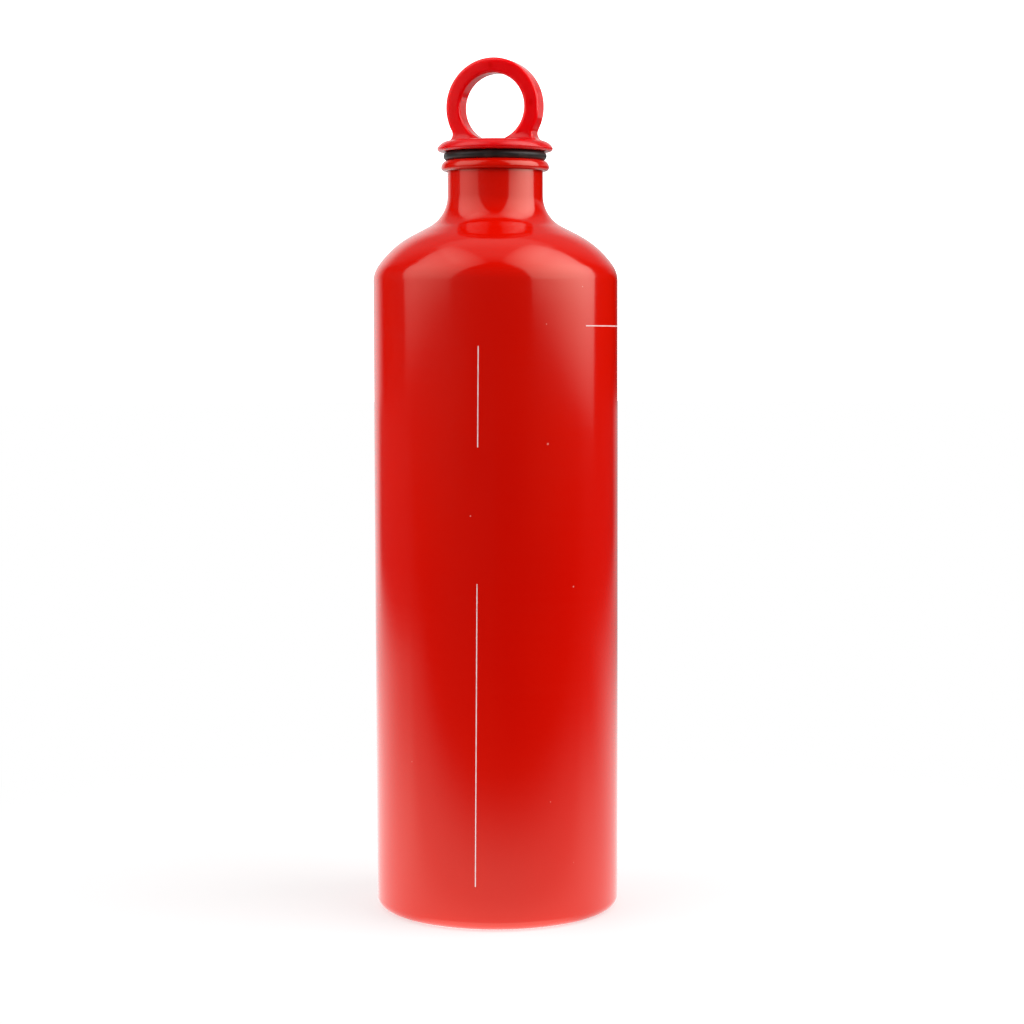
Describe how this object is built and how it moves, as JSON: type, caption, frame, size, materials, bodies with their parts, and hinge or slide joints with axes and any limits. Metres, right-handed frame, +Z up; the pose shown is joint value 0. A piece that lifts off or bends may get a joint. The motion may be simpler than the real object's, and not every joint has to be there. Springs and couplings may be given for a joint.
{
  "type": "fuel bottle",
  "caption": "Slim round aluminium bottle for liquid stove fuel, with a narrow neck, a rolled lip and a screw-in cap that ends in a round carrying ring.",
  "frame": {"origin": "centre of the standing ring under the base, on the bottle's axis", "axes": "+Z up along the bottle's axis towards the cap, +Y along the hole of the carrying ring with the cap screwed home"},
  "size_m": [0.073, 0.073, 0.2546],
  "materials": {
    "shell_lacquer": "glossy red lacquer on aluminium",
    "bare_aluminium": "bare turned aluminium",
    "seal_rubber": "satin black rubber",
    "cap_plastic": "glossy red moulded plastic"
  },
  "bodies": {
    "bottle": {"bottle_shell": "shell_lacquer", "neck_thread_insert": "bare_aluminium"},
    "seal": {"cap_seal_ring": "seal_rubber"},
    "cap": {"screw_cap": "cap_plastic"}
  },
  "joints": [
    {"name": "cap_lift", "type": "slide", "parent": "bottle", "child": "seal", "axis": [0, 0, 1], "range_m": [0, 0.015]},
    {"name": "cap_turn", "type": "hinge", "parent": "seal", "child": "cap", "pos_m": [0, 0, 0.227], "axis": [0, 0, 1], "range_deg": [0, 1800]}
  ],
  "couplings": [
    {"joint": "cap_lift", "follows": "cap_turn", "m_per_rad": 0.00047746}
  ]
}
